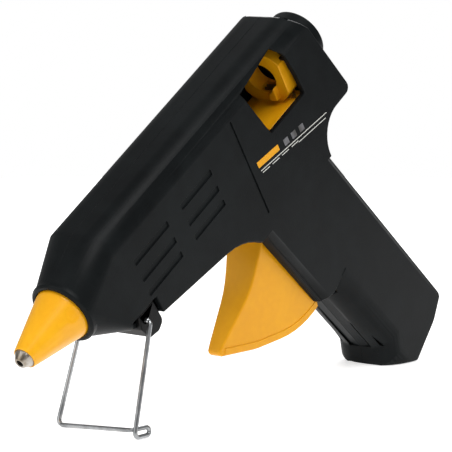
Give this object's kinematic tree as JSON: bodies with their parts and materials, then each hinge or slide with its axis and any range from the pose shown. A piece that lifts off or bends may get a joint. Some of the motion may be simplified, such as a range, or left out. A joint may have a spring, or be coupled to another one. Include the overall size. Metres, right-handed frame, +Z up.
{
  "type": "glue_gun",
  "caption": "hot-melt glue gun resting on its fold-out wire stand, with a sprung trigger that feeds the glue stick",
  "frame": {"origin": "centre of the overall box's base, on the table under the resting gun", "axes": "+Z up from the table, -X towards the nozzle, -Y towards the gun's left side"},
  "size_m": [0.2411, 0.0377, 0.1458],
  "materials": {
    "body_plastic": "fine spark-textured black moulding",
    "yellow_plastic": "warm yellow moulding, satin",
    "yellow_rubber": "glossy warm yellow heat-proof cover",
    "nozzle_steel": "turned steel, slightly heat-stained",
    "screw_steel": "plated steel",
    "spring_steel": "drawn spring wire",
    "wire_steel": "bright drawn wire",
    "jaw_steel": "pressed steel with a cut tooth",
    "chamber_aluminium": "die-cast aluminium",
    "ring_resin": "heat-proof resin",
    "insulator_film": "amber polyimide sheet",
    "electrode_brass": "stamped brass",
    "ceramic": "sintered ceramic",
    "sleeve_silicone": "silicone rubber",
    "clip_plastic": "black heat-proof moulding",
    "block_plastic": "pale moulding",
    "lead_jacket": "woven and varnished lead jacket"
  },
  "bodies": {
    "gun": {"left_housing": "body_plastic", "right_housing": "body_plastic", "housing_screws": "screw_steel", "nozzle_cover": "yellow_rubber", "nozzle": "nozzle_steel", "valve_spring": "spring_steel", "melt_chamber": "chamber_aluminium", "front_mount_ring": "ring_resin", "rear_mount_ring": "ring_resin", "insulator_sheets": "insulator_film", "electrode_plates": "electrode_brass", "ptc_heater": "ceramic", "heater_clip": "spring_steel", "stick_sleeve": "sleeve_silicone", "sleeve_clip": "spring_steel", "inlet_collar": "body_plastic", "trigger_pin": "screw_steel", "return_spring": "spring_steel", "stand_clip": "clip_plastic", "terminal_block": "block_plastic", "terminal_screws": "electrode_brass", "heater_leads": "lead_jacket", "cord_gland": "clip_plastic"},
    "trigger": {"trigger": "yellow_plastic", "drive_pin": "screw_steel"},
    "carriage": {"feed_carriage": "yellow_plastic", "jaw_pin": "screw_steel"},
    "jaw": {"grip_jaw": "jaw_steel"},
    "ball": {"valve_ball": "screw_steel"},
    "stand": {"wire_stand": "wire_steel"}
  },
  "joints": [
    {"name": "trigger_pull", "type": "hinge", "parent": "gun", "child": "trigger", "pos_m": [0.00771, 0, 0.07969], "axis": [0, -1, 0], "range_deg": [0, 20], "stiffness_Nm_per_rad": 0.3, "springref_deg": -20.05},
    {"name": "carriage_feed", "type": "slide", "parent": "gun", "child": "carriage", "axis": [-0.8339, 0, -0.5519], "range_m": [0, 0.00558]},
    {"name": "jaw_bite", "type": "hinge", "parent": "carriage", "child": "jaw", "pos_m": [0.02457, 0, 0.11436], "axis": [0, -1, 0], "range_deg": [0, 6.5]},
    {"name": "ball_lift", "type": "slide", "parent": "gun", "child": "ball", "axis": [-0.8339, 0, -0.5519], "range_m": [0, 0.0015], "stiffness_N_per_m": 200, "springref_m": -0.002},
    {"name": "stand_fold", "type": "hinge", "parent": "gun", "child": "stand", "pos_m": [-0.06892, 0, 0.04073], "axis": [0, -1, 0], "range_deg": [0, 120]}
  ],
  "couplings": [
    {"joint": "carriage_feed", "follows": "trigger_pull", "m_per_rad": 0.015421},
    {"joint": "jaw_bite", "follows": "trigger_pull", "ratio": 0.3}
  ]
}
